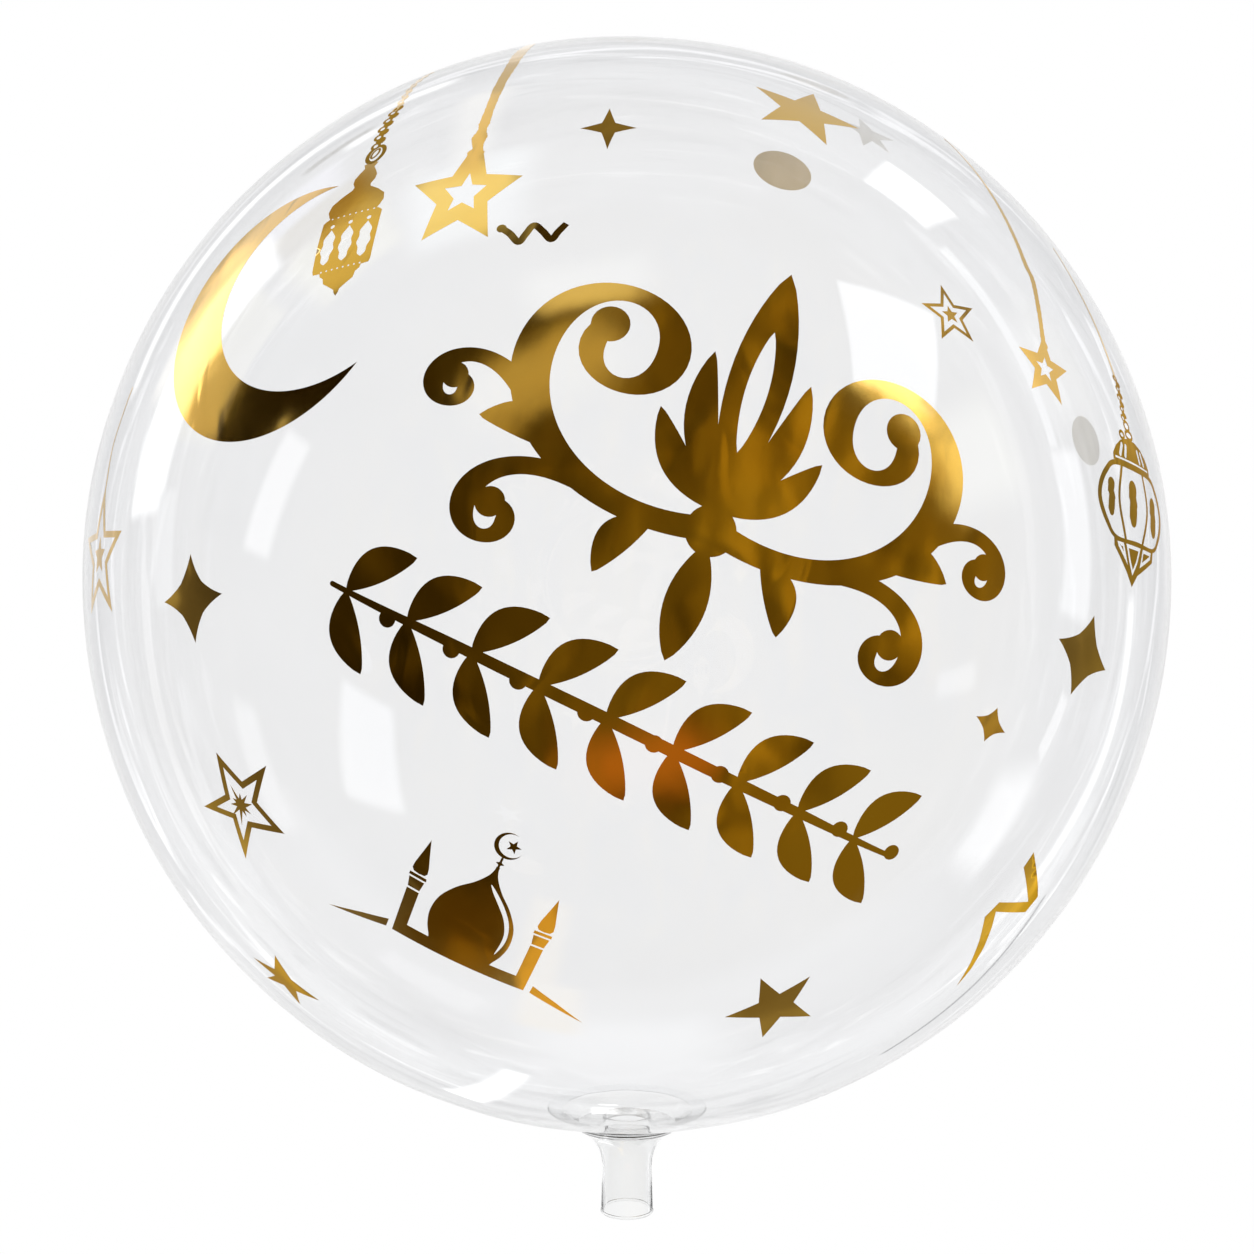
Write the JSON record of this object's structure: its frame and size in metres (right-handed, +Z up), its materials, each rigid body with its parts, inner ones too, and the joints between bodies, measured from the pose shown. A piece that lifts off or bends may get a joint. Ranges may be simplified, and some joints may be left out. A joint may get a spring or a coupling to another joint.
{
  "type": "clear bubble balloon",
  "caption": "Round see-through bubble balloon with gold foil festive motifs on one side and a short open filling neck, lying on a small flat spot.",
  "frame": {"origin": "middle of the flat spot that the balloon rests on, right under its centre", "axes": "+Z up through the centre to the printed front, -Y along the filling neck, +X to the right of the printed front seen with the neck towards the viewer"},
  "size_m": [0.5, 0.552, 0.4949],
  "materials": {
    "clear_film": "clear glossy stretched plastic film",
    "clear_neck": "clear glossy moulded soft plastic",
    "gold_foil": "bright gold hot-stamped foil, slightly wrinkled",
    "foil_back": "pale grey-beige back of the foil, seen through the film"
  },
  "bodies": {
    "root": {"envelope": "clear_film", "filling_neck": "clear_neck"}
  },
  "joints": []
}
